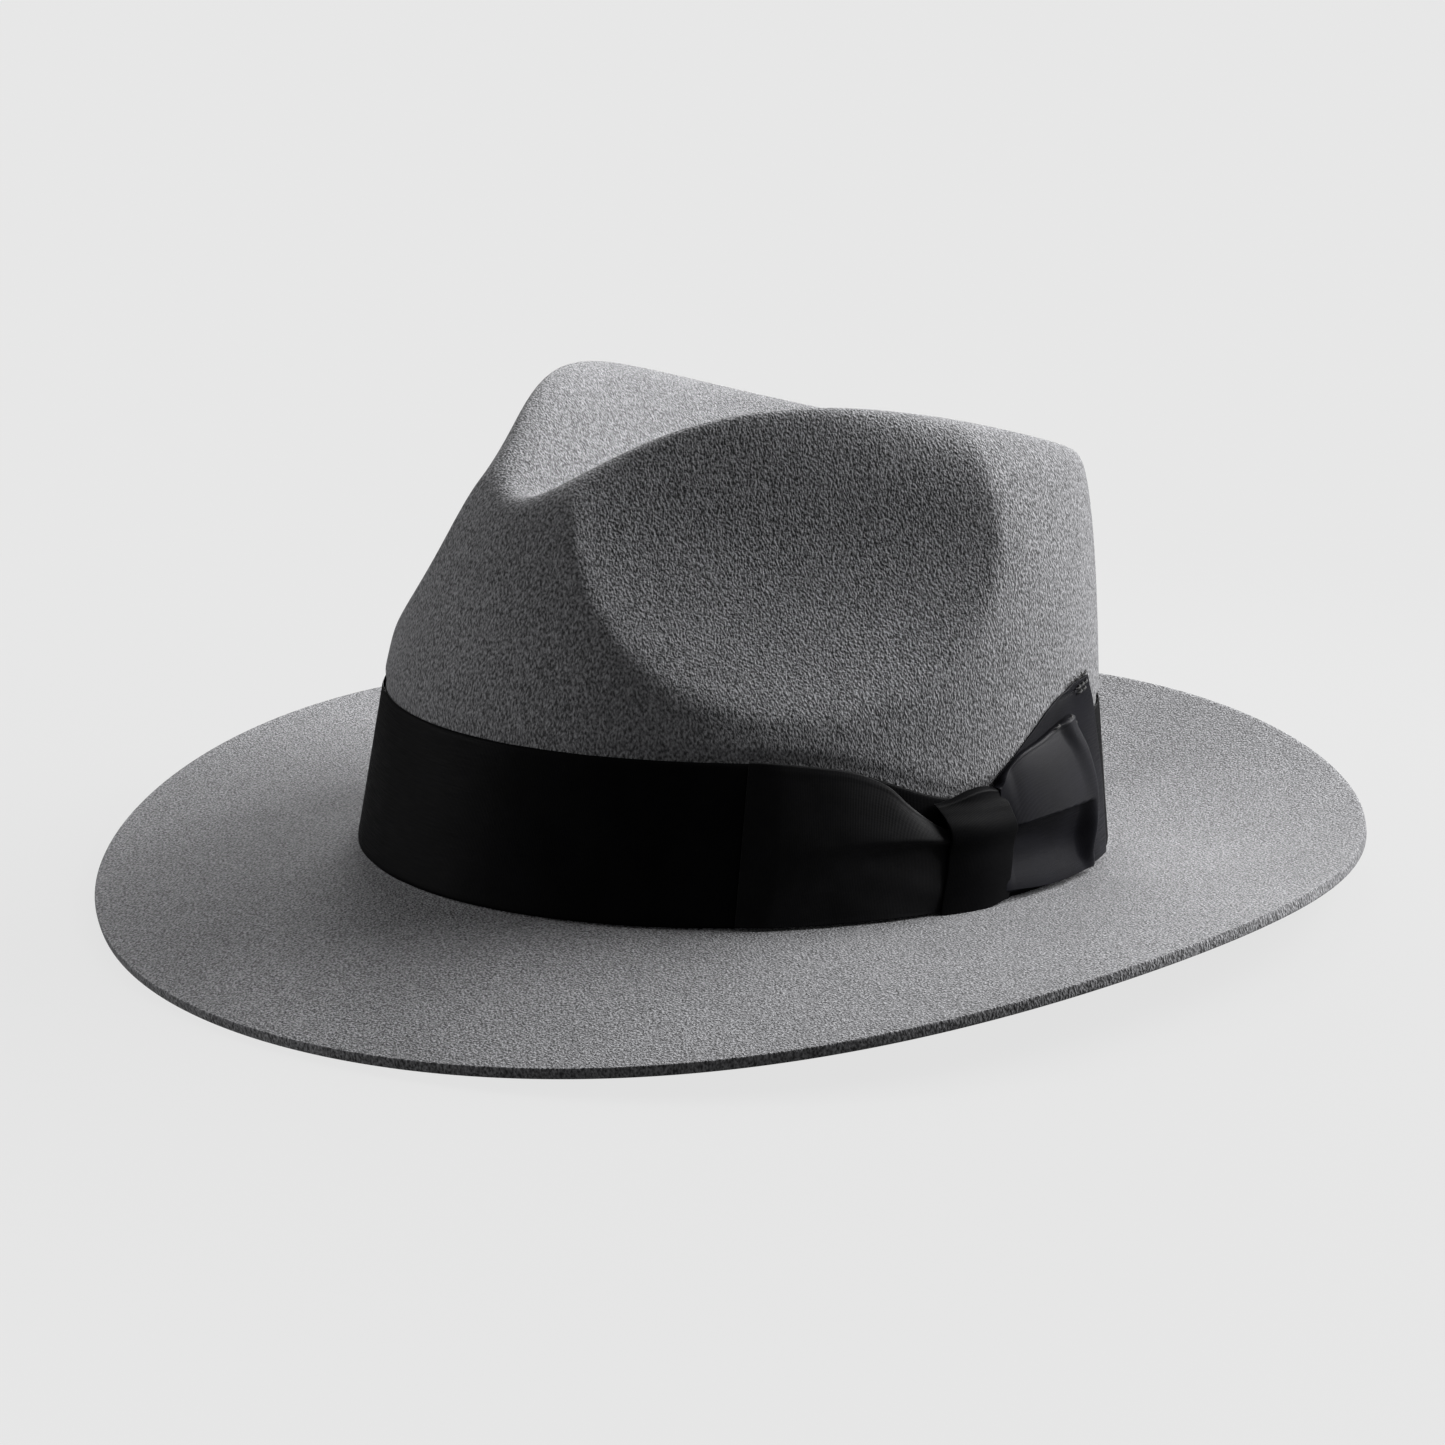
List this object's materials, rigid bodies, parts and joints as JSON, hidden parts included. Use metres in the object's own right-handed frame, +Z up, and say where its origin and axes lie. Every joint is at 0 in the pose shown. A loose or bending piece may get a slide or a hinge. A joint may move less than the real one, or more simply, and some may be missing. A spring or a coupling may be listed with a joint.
{
  "type": "fedora hat",
  "caption": "Teardrop-crown felt hat with a snap brim, a satin ribbon tied in a side bow, a leather sweatband and a satin lining.",
  "frame": {"origin": "on the ground plane that the brim rests on, under the middle of the hat's box", "axes": "+Z up, the hat's front towards -Y and the wearer's left, with the bow, towards +X"},
  "size_m": [0.3058, 0.3378, 0.1269],
  "materials": {
    "felt": "matte wool felt, pebbled",
    "ribbon": "black satin ribbon",
    "sweatband_leather": "soft satin leather",
    "tape_cloth": "matte woven tape",
    "reed_plastic": "smooth",
    "tag_paper": "matte, blank",
    "lining_satin": "satin",
    "piping_cord": "satin covered cord"
  },
  "bodies": {
    "root": {"felt_body": "felt", "ribbon_band": "ribbon", "bow_front_loop": "ribbon", "bow_rear_loop": "ribbon", "bow_tail": "ribbon", "bow_knot": "ribbon", "sweatband": "sweatband_leather", "sweatband_bow": "sweatband_leather", "sweatband_seam_tape": "tape_cloth", "sweatband_reed": "reed_plastic", "reed_tape": "tape_cloth", "size_tag": "tag_paper", "lining_wall": "lining_satin", "lining_tip": "lining_satin", "lining_piping": "piping_cord"}
  },
  "joints": []
}
